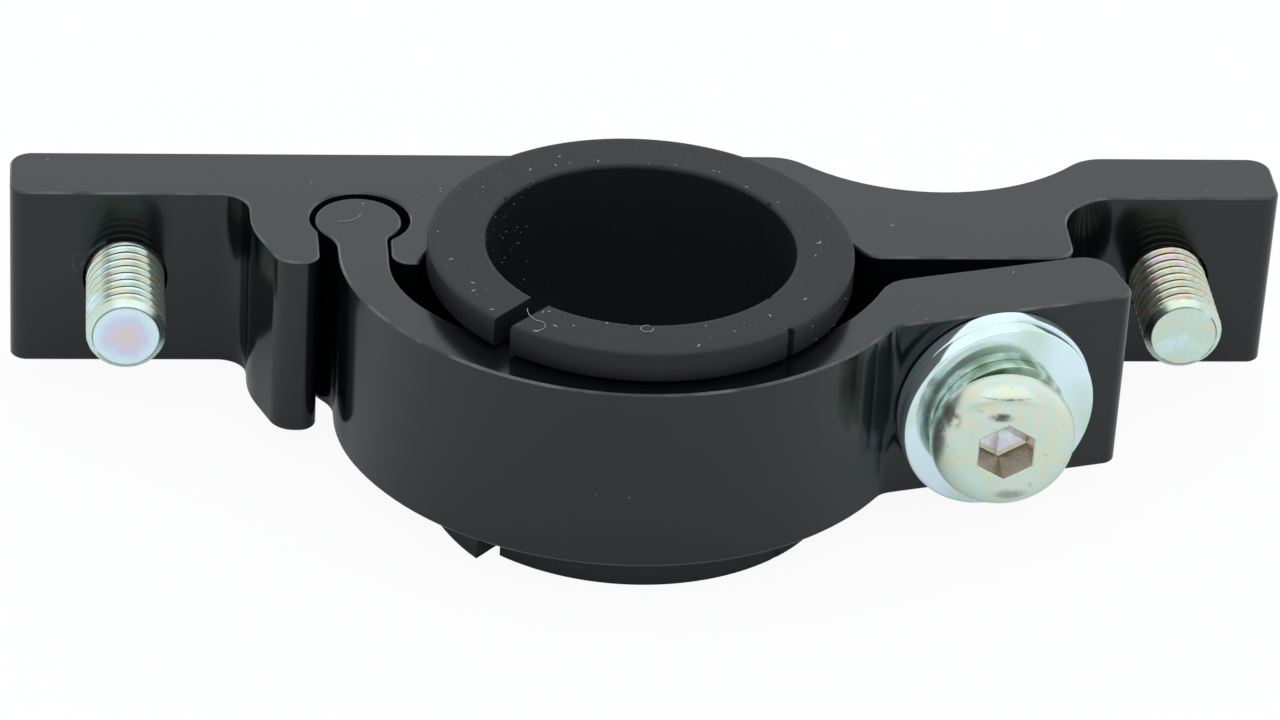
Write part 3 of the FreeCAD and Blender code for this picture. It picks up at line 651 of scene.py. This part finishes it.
def dust_tree():
    """Specks and short fibres scattered over the faces that look one way."""
    tree = Tree("DustSpecks")
    count, seed = tree.option("Density", "Float"), tree.option("Seed", "Int")
    small, large = tree.option("Smallest", "Float"), tree.option("Largest", "Float")
    stretch, material = tree.option("Stretch", "Float"), tree.option("Material", "Material")
    toward, normal = tree.option("Toward", "Vector"), tree.node("GeometryNodeInputNormal")
    along = tree.node("ShaderNodeVectorMath", {"operation": "DOT_PRODUCT"}, {0: normal, 1: toward},
                      out="Value")
    facing = tree.node("FunctionNodeCompare", {"data_type": "FLOAT", "operation": "GREATER_THAN"},
                       {0: along, 1: FACING})
    spread = tree.node("GeometryNodeDistributePointsOnFaces", None,
                       {"Mesh": tree.inputs.outputs["Geometry"], "Selection": facing,
                        "Density": count, "Seed": seed})
    # A speck is one metre across before it is scaled to its size
    speck = tree.node("GeometryNodeMeshIcoSphere", None, {"Radius": 0.5, "Subdivisions": 1})
    turn = tree.node("FunctionNodeRandomValue", {"data_type": "FLOAT_VECTOR"},
                     {0: (0.0, 0.0, 0.0), 1: (0.0, 0.0, TURN), "Seed": seed})
    amount = tree.node("FunctionNodeRandomValue", {"data_type": "FLOAT"},
                       {2: small, 3: large, "Seed": seed}, out=1)
    longer = tree.node("FunctionNodeRandomValue", {"data_type": "FLOAT"},
                       {2: 1.0, 3: stretch, "Seed": seed}, out=1)
    wide, high = tree.math("MULTIPLY", amount, longer), tree.math("MULTIPLY", amount, SPECK_HEIGHT)
    shape = tree.node("ShaderNodeCombineXYZ", None, {"X": wide, "Y": amount, "Z": high})
    specks = tree.node("GeometryNodeInstanceOnPoints", None,
                       {"Points": spread, "Instance": speck, "Rotation": turn, "Scale": shape})
    tree.close(specks, material)
    return tree


def fibre_tree():
    """A curled fibre: a thin tube swept along an arc about Z."""
    tree = Tree("CurledFibre")
    radius, sweep = tree.option("Radius", "Float"), tree.option("Sweep", "Float")
    thickness, material = tree.option("Thickness", "Float"), tree.option("Material", "Material")
    arc = tree.node("GeometryNodeCurveArc", {"mode": "RADIUS"},
                    {"Resolution": FIBRE_POINTS, "Radius": radius, "Sweep Angle": sweep})
    profile = tree.node("GeometryNodeCurvePrimitiveCircle", {"mode": "RADIUS"},
                        {"Resolution": FIBRE_SIDES, "Radius": thickness})
    tube = tree.node("GeometryNodeCurveToMesh", None,
                     {"Curve": arc, "Profile Curve": profile, "Fill Caps": True})
    tree.close(tube, material)
    return tree


# Operators

class ADAPTER_OT_extrusions(bpy.types.Operator):
    """Rounds the edges of the two extrusions and anodises them"""
    bl_idname = "adapter.extrusions"
    bl_label = "Extrusions"

    def execute(self, context):
        scene = context.scene
        black = anodised_black(scene.adapter_finish)
        for node, body in (("base_bracket", "base"), ("clamp_arm", "arm")):
            mesh = cad_copy(node, scene.adapter_edges)
            add_piece(node + "_dressed", mesh, body, [black], [node])
        return {"FINISHED"}


class ADAPTER_OT_sleeve(bpy.types.Operator):
    """Moulds the rubber sleeve with its slit, notch and nicked bore edge"""
    bl_idname = "adapter.sleeve"
    bl_label = "Rubber sleeve"

    STEPS = 720
    CORNER_STEPS = 4
    RIM, ROOT, BORE_EDGE = 0.2 * MM, 0.1 * MM, 0.22 * MM  # roundings of flanges, their roots and the bore
    SLIT_NEAR, SLIT_TAPER = 0.75 * MM, 0.0174  # half width at half the bore, and its loss per metre outward
    NOTCH_HALF, NOTCH_DEPTH = 0.22 * MM, 0.3 * MM
    LOW_NOTCH = 0.35  # share of the notch's depth in the lower flange
    BORE_SKIN = 0.01 * MM  # faces within this of the bore are the bore
    LOW_FADE = 0.4 * MM  # depth over which the lower flange takes up its own shape
    # How far the lower flange's free end stands out, by what curve and over what angle it does so
    SPLAY, SPLAY_CURVE, SPLAY_REACH = 1.2 * MM, 1.4, 0.75
    FREE_REACH = 0.38 * MM  # how far that end reaches into the slit
    NICK_REACH, NICK_SLOPE = 0.4 * MM, 0.6  # room for nicks at the edge, and their reach for their depth
    # Nicks in the upper bore edge: direction, half width in degrees, depth in millimetres
    NICKS = ((30, 1.1, 0.22), (-41, 1.4, 0.26), (146, 0.9, 0.18), (78, 0.7, 0.12), (-98, 0.8, 0.14))

    def execute(self, context):
        sizes = context.scene.adapter_sleeve
        mesh = self.mould(sizes)
        smooth(mesh, SHARP_RUBBER)
        finish = context.scene.adapter_finish
        # Painted light: the bore takes a copy of the rubber with less sheen and a base colour lifted 2.2
        # times, tuned to the light inside the bore
        rubber = [sleeve_rubber("sleeve_rubber", finish, ior=1.41, light_lift=1.0, specks=0.35),
                  sleeve_rubber("sleeve_bore_lit_copy", finish, ior=1.2, light_lift=2.2, specks=0.12)]
        add_piece("rubber_sleeve_moulded", mesh, "base", rubber, ["rubber_sleeve"])
        return {"FINISHED"}

    def outline(self, sizes):
        """Closed section of the sleeve, from the bore's lower end to its upper one."""
        top, shelf = sizes.half_height, sizes.shelf
        half = [(sizes.body, shelf, self.ROOT), (sizes.flange, shelf, self.RIM),
                (sizes.flange, top, self.RIM), (sizes.flange - 2 * self.NOTCH_DEPTH, top, 0),
                (sizes.bore + self.NICK_REACH, top, 0), (sizes.bore, top, self.BORE_EDGE),
                (sizes.bore, top - self.NICK_REACH, 0)]
        return rounded([(r, -z, c) for r, z, c in reversed(half)] + half, self.CORNER_STEPS)

    def mould(self, sizes):
        outline = self.outline(sizes)
        shape = bmesh.new()
        rings = []
        for step in range(self.STEPS + 1):
            share = step / self.STEPS
            rings.append([shape.verts.new(self.spot(sizes, r, z, share)) for r, z in outline])
        skin = sizes.bore + self.BORE_SKIN
        # Bore faces take the second material, the copy tuned to the light in the bore
        inside = [max(here[0], there[0]) < skin for here, there in zip(outline, outline[1:] + outline[:1])]
        for wall in cut_ring(shape, rings):
            for face, in_bore in zip(wall, inside):
                face.material_index = int(in_bore)
        return finish_mesh(shape, "rubber_sleeve_moulded")

    def spot(self, sizes, r, z, share):
        """Place of one outline point at a share of the way round from the slit."""
        half = math.asin((self.SLIT_NEAR - (r - sizes.bore / 2) * self.SLIT_TAPER) / r)
        low = min(1.0, max(0.0, -z - sizes.shelf) / self.LOW_FADE)
        turn = half + share * (TURN - 2 * half + low * self.FREE_REACH / r)
        angle = sizes.slit + turn
        off = math.remainder(angle - sizes.notch, TURN)
        if abs(off) * sizes.flange < self.NOTCH_HALF:
            r = min(r, sizes.flange - self.NOTCH_DEPTH * (1 if z > 0 else self.LOW_NOTCH))
        free = max(0.0, 1 - (1 - share) * TURN / self.SPLAY_REACH)
        r += self.SPLAY * free ** self.SPLAY_CURVE * low
        for direction, width, depth in self.NICKS:
            away = abs(math.degrees(math.remainder(angle - math.radians(direction), TURN))) / width
            near_edge = r < sizes.bore + self.NICK_REACH / 2 and z > sizes.half_height - self.NICK_REACH / 2
            if away < 1 and near_edge:
                r += depth * MM * (1 - away) * self.NICK_SLOPE
                z -= depth * MM * (1 - away)
        return polar(r, z, angle)


class ADAPTER_OT_bolts(bpy.types.Operator):
    """Cuts the threads of the clamp bolt and the two cage bolts and forms their heads"""
    bl_idname = "adapter.bolts"
    bl_label = "Bolts"

    AROUND = 97
    ROWS_PER_PITCH = 20
    FINISH, SOCKET, TIP, GROOVE, FLOOR = range(5)  # order of the platings on each bolt; the groove's is painted shade, the socket floor's a painted reflection
    SUNK = 0.62  # share of the thread's depth from which a groove is painted dark, as shade
    HEAD_STEPS, SHOULDER_STEPS = 96, 14
    SEAT_HOLE = 2.0 * MM  # the head's underside starts here, within the shank
    RIM_BREAK = 0.12 * MM
    # The socket's mouth is wider by a factor down to a depth; below its walls it narrows to a drilled cone
    MOUTH, MOUTH_DEPTH = 1.045, 0.07 * MM
    NARROW, NARROW_DEPTH, DRILL_DEPTH = 0.86, 0.12 * MM, 0.35 * MM
    # Dark marks on the clamp bolt's head: x, z, half width and half height in millimetres, and a strength.
    # The first and third are smudges; the second is a painted dark reflection along the dome's top, the
    # last two a painted reflection of the dark strap on the left flank.
    DARK_MARKS = ((20.55, 2.45, 1.0, 0.4, 1.0), (20.85, 3.5, 1.9, 0.08, 0.8), (21.5, -2.9, 1.3, 0.55, 0.55),
              (17.7, 2.1, 0.7, 0.9, 0.85), (17.1, 0.6, 0.5, 2.0, 0.7))

    def execute(self, context):
        scene = context.scene
        thread, height = scene.adapter_thread, scene.adapter_head.height
        tree = thread_tree()
        head = zinc_plated("zinc_head", ("mint", "straw", "mint", "pearl", "straw"), rough=0.31, smudge=0.3,
                           scale=0.45, mottle=0.35, dark_marks=self.DARK_MARKS)
        left = zinc_plated("zinc_left_bolt", ("ice", "mint", "straw", "mint"), rough=0.16, smudge=0.15,
                           scale=0.5)
        right = zinc_plated("zinc_right_bolt", ("straw", "gold", "mint", "gold", "blush"), rough=0.16,
                            smudge=0.15, scale=0.7)
        others = [
            zinc_plated("zinc_socket", ("bronze", "olive", "bronze"), rough=0.26, smudge=0.0, scale=0.9),
            zinc_tip(middle("cage_bolt_left").x, middle("cage_bolt_right").x,
                     thread.radius - thread.chamfer),
            # Painted shade: the threads' deep grooves are near black
            zinc_plated("zinc_groove_shade", ("near_black", "near_black"), rough=0.4, smudge=0.0, scale=0.9, metal=0.6),
            # Painted reflection: the socket's floor is pale lilac, blush and ice
            zinc_plated("zinc_socket_floor_reflection", ("lilac", "blush", "ice"), rough=0.2, smudge=0.2, scale=1.4)]
        for node, body, seat, finish in (
                ("clamp_bolt", "bolt_stack", FACING_FRONT, head),
                ("cage_bolt_left", "left_cage_bolt", FACING_BACK, left),
                ("cage_bolt_right", "right_cage_bolt", FACING_BACK, right)):
            low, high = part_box(node)
            under = low.y + height if seat is FACING_FRONT else high.y - height
            mesh = self.bolt(scene, tree, node, (high.y - low.y) - height, finish)
            mesh.transform(Matrix.Translation(((low.x + high.x) / 2, under, 0)) @ seat)
            smooth(mesh, SHARP_PLATED)
            add_piece(node + "_threaded", mesh, body, [finish] + others, [node])
        return {"FINISHED"}

    def bolt(self, scene, tree, node, length, finish):
        """One bolt along -Z with its head on Z = 0."""
        thread = scene.adapter_thread
        shank = tree.grow(node + "_shank", {
            "Radius": thread.radius, "Pitch": thread.pitch, "Depth": thread.depth, "Length": length,
            "Chamfer": thread.chamfer, "Crest": thread.crest, "Material": finish, "Around": self.AROUND,
            "Turns": math.ceil(length / thread.pitch) + 1, "Rows": self.ROWS_PER_PITCH})
        shape = bmesh.new()
        shape.from_mesh(shank)
        bpy.data.meshes.remove(shank)
        for face in shape.faces:
            face.material_index = self.zone(face, thread, length)
        self.add_head(shape, scene.adapter_head)
        return finish_mesh(shape, node + "_threaded")

    def zone(self, face, thread, length):
        """Which plating a face of the shank has; the deep grooves get the painted shade."""
        spot = face.calc_center_median()
        if spot.z < thread.chamfer - length:
            return self.TIP
        sunk = thread.radius - math.hypot(spot.x, spot.y) > thread.depth * self.SUNK
        return self.GROOVE if sunk else self.FINISH

    def add_head(self, shape, head):
        """Turned head on Z = 0 with a hexagon socket, corners up and down."""
        angles = [TURN * step / self.HEAD_STEPS for step in range(self.HEAD_STEPS)]
        flat = head.radius - head.shoulder
        outline = [(self.SEAT_HOLE, 0.0), (head.radius - self.RIM_BREAK, 0.0),
                   (head.radius, self.RIM_BREAK)]
        for step in range(self.SHOULDER_STEPS + 1):
            angle = TURN / 4 * step / self.SHOULDER_STEPS
            outline.append((flat + head.shoulder * math.cos(angle),
                            head.height - head.shoulder * (1 - math.sin(angle))))
        rings = [[shape.verts.new(polar(r, z, angle)) for angle in angles] for r, z in outline]
        corner = head.hexagon / 2 / math.cos(TURN / 12)
        floor = head.height - head.depth
        for scale, z in ((self.MOUTH, head.height), (1.0, head.height - self.MOUTH_DEPTH), (1.0, floor),
                         (self.NARROW, floor - self.NARROW_DEPTH)):
            rings.append([shape.verts.new(polar(scale * self.hexagon(corner, angle), z, angle))
                          for angle in angles])
        inner = len(outline)  # the ring of the socket's mouth
        for index, (here, there) in enumerate(zip(rings, rings[1:])):
            for face in bridge(shape, here, there):
                face.material_index = self.SOCKET if index > inner else self.FINISH
        # The socket's floor takes the painted reflection
        drilled = shape.verts.new((0, 0, floor - self.DRILL_DEPTH))
        last = rings[-1]
        for here, there in zip(last, last[1:] + last[:1]):
            shape.faces.new((here, there, drilled)).material_index = self.FLOOR

    @staticmethod
    def hexagon(corner, angle):
        """Radius of the hexagon in one direction, with corners on the Y axis."""
        sector = TURN / 6
        off = (angle - TURN / 4 + sector / 2) % sector - sector / 2
        return corner * math.cos(sector / 2) / math.cos(sector / 2 - abs(off))


class ADAPTER_OT_washers(bpy.types.Operator):
    """Stamps the two flat washers and coils the lock washer"""
    bl_idname = "adapter.washers"
    bl_label = "Washers"

    STEPS = 192
    # Outer radius, hole's radius and half the thickness, then the roundings of the edges
    FLAT, FLAT_RIM, FLAT_LIP = (6.0 * MM, 2.8 * MM, 0.55 * MM), 0.2 * MM, 0.1 * MM
    COIL, COIL_EDGE, COIL_STEPS = (4.1 * MM, 2.75 * MM, 0.4 * MM), 0.08 * MM, 3
    CUT, GAP, LEAN = math.radians(250), 0.6 * MM, 0.35  # the lock washer's cut: direction, width and slant

    def execute(self, context):
        plate = zinc_plated("zinc_washer", ("ice", "ice", "mint"), rough=0.11, smudge=0.1, scale=0.2)
        # Painted shade: the lock washer is dark green, as it lies in shade under the head
        spring = zinc_plated("zinc_spring_shaded", ("shaded_moss", "mint", "shaded_moss"), rough=0.26, smudge=0.2, scale=0.6)
        for node in ("front_washer", "rear_washer"):
            self.add(node, self.flat(node), plate)
        self.add("lock_washer", self.coil("lock_washer"), spring)
        return {"FINISHED"}

    def add(self, node, mesh, finish):
        mesh.transform(Matrix.Translation(middle(node)) @ ON_EAR)
        smooth(mesh, SHARP_PLATED)
        add_piece(node + "_plated", mesh, "bolt_stack", [finish], [node])

    def flat(self, name):
        """Stamped ring with a rolled rim."""
        outer, hole, half = self.FLAT
        return lathe(rounded([(hole, -half, self.FLAT_LIP), (outer, -half, self.FLAT_RIM),
                              (outer, half, self.FLAT_RIM), (hole, half, self.FLAT_LIP)]), self.STEPS, name)

    def coil(self, name):
        """Square-section ring with a slanting cut."""
        outer, hole, half = self.COIL
        corners = ((hole, -half), (outer, -half), (outer, half), (hole, half))
        outline = rounded([(r, z, self.COIL_EDGE) for r, z in corners], self.COIL_STEPS)
        shape = bmesh.new()
        rings = []
        for step in range(self.STEPS + 1):
            ring = []
            for r, z in outline:
                open_half = self.GAP / 2 / r
                start = self.CUT + self.LEAN * z / r + open_half
                angle = start + (TURN - 2 * open_half) * step / self.STEPS
                ring.append(shape.verts.new(polar(r, z, angle)))
            rings.append(ring)
        cut_ring(shape, rings)
        return finish_mesh(shape, name)


class ADAPTER_OT_dust(bpy.types.Operator):
    """Scatters a little lint over the tops and fronts"""
    bl_idname = "adapter.dust"
    bl_label = "Dust"

    SMALLEST, LARGEST = 0.035 * MM, 0.085 * MM
    UP, AHEAD, ASIDE = (0.0, 0.0, 1.0), (0.0, -1.0, 0.0), (0.92, -0.39, 0.0)
    # Specks: name, piece they lie on, body, count per square metre, seed, stretch and the way they face
    SPECKS = (("dust_sleeve", "rubber_sleeve_moulded", "base", 260000, 4, 5.0, UP),
              ("dust_sleeve_side", "rubber_sleeve_moulded", "base", 1200000, 9, 1.5, ASIDE),
              ("dust_base", "base_bracket_dressed", "base", 26000, 11, 4.0, UP),
              ("dust_arm", "clamp_arm_dressed", "arm", 26000, 7, 4.0, UP),
              ("dust_base_front", "base_bracket_dressed", "base", 16000, 3, 1.5, AHEAD),
              ("dust_arm_front", "clamp_arm_dressed", "arm", 22000, 5, 1.5, AHEAD))
    # Fibres: name, body, node they lie on, the arc's centre and radius in millimetres, its start and sweep
    FIBRES = (("fibre_bead", "arm", "clamp_arm", (-17.4, 7.0), 1.2, -101, 87),
              ("fibre_slit_hook", "base", "rubber_sleeve", (-6.9, -9.4), 0.57, -110, 185),
              ("fibre_slit_tail", "base", "rubber_sleeve", (-5.6, -7.7), 1.65, 174, 51),
              ("fibre_front_curl", "base", "rubber_sleeve", (-0.47, -9.72), 0.36, 60, 310))
    FIBRE_RADIUS, FIBRE_LIFT = 0.018 * MM, 0.02 * MM

    def execute(self, context):
        lint = dust_white(context.scene.adapter_finish)
        self.specks(lint)
        self.fibres(lint)
        return {"FINISHED"}

    def specks(self, lint):
        tree = dust_tree()
        for name, source, body, density, seed, stretch, toward in self.SPECKS:
            ground = bpy.data.objects[source].data.copy()
            mesh = tree.grow(name, {
                "Density": density, "Seed": seed, "Smallest": self.SMALLEST, "Largest": self.LARGEST,
                "Stretch": stretch, "Toward": toward, "Material": lint}, ground)
            add_piece(name, mesh, body, [lint])

    def fibres(self, lint):
        tree = fibre_tree()
        for name, body, node, (x, y), radius, start, sweep in self.FIBRES:
            mesh = tree.grow(name, {"Radius": radius * MM, "Sweep": math.radians(sweep),
                                    "Thickness": self.FIBRE_RADIUS, "Material": lint})
            place = Matrix.Translation((x * MM, y * MM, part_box(node)[1].z + self.FIBRE_LIFT))
            mesh.transform(place @ Matrix.Rotation(math.radians(start), 4, "Z"))
            add_piece(name, mesh, body, [lint])


class ADAPTER_OT_stage(bpy.types.Operator):
    """Lays the pale floor, lights the studio and sets the camera"""
    bl_idname = "adapter.stage"
    bl_label = "Stage"

    # The camera: its place, its axes up and back, its sensor in millimetres and the nearest that it sees
    EYE = (-0.0335740, -0.2932834, 0.1813965)
    UP = Vector((-0.00222025, 0.52656478, 0.85013211))
    BACK = Vector((-0.09789902, -0.84616489, 0.52385184))
    SENSOR, NEAREST = 36, 0.01
    SOFTBOX, SOFTBOX_SIZE, SOFTBOX_POWER = (0.07, -0.37, 0.62), 0.95, 1.05
    FLOOR_REACH, FLOOR_GAP = 6.0, 0.02 * MM
    SEEN_SHARE, MIRRORED_SHARE = 0.93, 0.25  # how far the floor glows to the eye and in glossy faces
    WHITE, FLOOR_MIRRORED = (1.0, 1.0, 1.0), (0.72, 0.82, 0.86)
    SKY_FRONT, SKY_BACK, DARK_BAND = (0.86, 0.91, 0.93), (1.04, 1.11, 1.15), (0.22, 0.23, 0.24)

    def execute(self, context):
        scene, settings = context.scene, context.scene.adapter_stage
        self.floor(scene, settings)
        self.sky(scene)
        self.lamp(scene)
        self.camera(scene, settings)
        scene.view_settings.view_transform = "Standard"
        return {"FINISHED"}

    def floor(self, scene, settings):
        low = CAD_BOX[0][2] - self.FLOOR_GAP
        reach = self.FLOOR_REACH
        mesh = bpy.data.meshes.new("floor")
        corners = [(-reach, -reach, low), (reach, -reach, low), (reach, reach, low), (-reach, reach, low)]
        mesh.from_pydata(corners, [], [(0, 1, 2, 3)])
        floor = bpy.data.objects.new("floor", mesh)
        scene.collection.objects.link(floor)
        paint = Paint("studio_floor")
        seen = paint.node("LightPath", out="Is Camera Ray")
        mirrored = paint.node("LightPath", out="Is Glossy Ray")
        matt = paint.node("BsdfDiffuse", None, {"Color": settings.floor})
        tone = paint.mix(mirrored, self.WHITE, self.FLOOR_MIRRORED)
        glow = paint.node("Emission", None, {"Color": tone})
        share = (seen * self.SEEN_SHARE).most(mirrored * self.MIRRORED_SHARE)
        paint.output(paint.node("MixShader", None, {0: share, 1: matt, 2: glow}))
        mesh.materials.append(paint.holder)

    def sky(self, scene):
        """Pale studio, brighter behind, with a dark band in front; white where the camera sees it."""
        scene.world = scene.world or bpy.data.worlds.new("studio")
        paint = Paint("studio", scene.world)
        _, back, up = paint.parts(paint.node("TexCoord", out="Generated"))
        front = paint.ramp(-1 * back, 0.55, 0.75)
        band = front * paint.ramp(up, 0.34, 0.46) * paint.ramp(-1 * up, -0.70, -0.58)
        pale = paint.mix(paint.ramp(back, -0.4, 0.7), self.SKY_FRONT, self.SKY_BACK)
        tone = paint.mix(band, pale, self.DARK_BAND)
        seen = paint.node("LightPath", out="Is Camera Ray")
        light = paint.node("Background", None, {"Color": paint.mix(seen, tone, self.WHITE)})
        paint.output(light, "OutputWorld")

    def lamp(self, scene):
        light = bpy.data.lights.new("Softbox", "AREA")
        light.size = self.SOFTBOX_SIZE
        light.energy = self.SOFTBOX_POWER
        lamp = bpy.data.objects.new("Softbox", light)
        lamp.location = self.SOFTBOX
        lamp.rotation_euler = (-Vector(self.SOFTBOX)).to_track_quat("-Z", "Y").to_euler()
        scene.collection.objects.link(lamp)

    def camera(self, scene, settings):
        lens = bpy.data.cameras.new("Camera")
        lens.lens = settings.lens
        lens.sensor_width = self.SENSOR
        lens.clip_start = self.NEAREST
        camera = bpy.data.objects.new("Camera", lens)
        axes = Matrix((self.UP.cross(self.BACK), self.UP, self.BACK)).transposed()
        camera.matrix_world = Matrix.Translation(self.EYE) @ axes.to_4x4()
        scene.collection.objects.link(camera)
        scene.camera = camera


class ADAPTER_PT_panel(bpy.types.Panel):
    """The adapter's pieces in the order they are made"""
    bl_idname = "ADAPTER_PT_panel"
    bl_label = "Bottle Cage Adapter"
    bl_space_type = "VIEW_3D"
    bl_region_type = "UI"
    bl_category = "Adapter"

    def draw(self, context):
        for operator in OPERATORS:
            self.layout.operator(operator.bl_idname)
        for group in SETTINGS:
            column = self.layout.column(align=True)
            settings = getattr(context.scene, group)
            for name in SETTINGS[group].__annotations__:
                column.prop(settings, name)


OPERATORS = (ADAPTER_OT_extrusions, ADAPTER_OT_sleeve, ADAPTER_OT_bolts, ADAPTER_OT_washers,
             ADAPTER_OT_dust, ADAPTER_OT_stage)
SETTINGS = {
    "adapter_finish": FinishSettings,
    "adapter_edges": EdgeSettings,
    "adapter_thread": ThreadSettings,
    "adapter_head": HeadSettings,
    "adapter_sleeve": SleeveSettings,
    "adapter_stage": StageSettings,
}


def register():
    for group in SETTINGS.values():
        bpy.utils.register_class(group)
    for name, group in SETTINGS.items():
        setattr(bpy.types.Scene, name, bpy.props.PointerProperty(type=group))
    for operator in OPERATORS:
        bpy.utils.register_class(operator)
    bpy.utils.register_class(ADAPTER_PT_panel)


def unregister():
    bpy.utils.unregister_class(ADAPTER_PT_panel)
    for operator in reversed(OPERATORS):
        bpy.utils.unregister_class(operator)
    for name, group in SETTINGS.items():
        delattr(bpy.types.Scene, name)
        bpy.utils.unregister_class(group)


def main():
    register()
    bpy.ops.adapter.extrusions()
    bpy.ops.adapter.sleeve()
    bpy.ops.adapter.bolts()
    bpy.ops.adapter.washers()
    bpy.ops.adapter.dust()
    bpy.ops.adapter.stage()


if __name__ == "__main__":
    main()
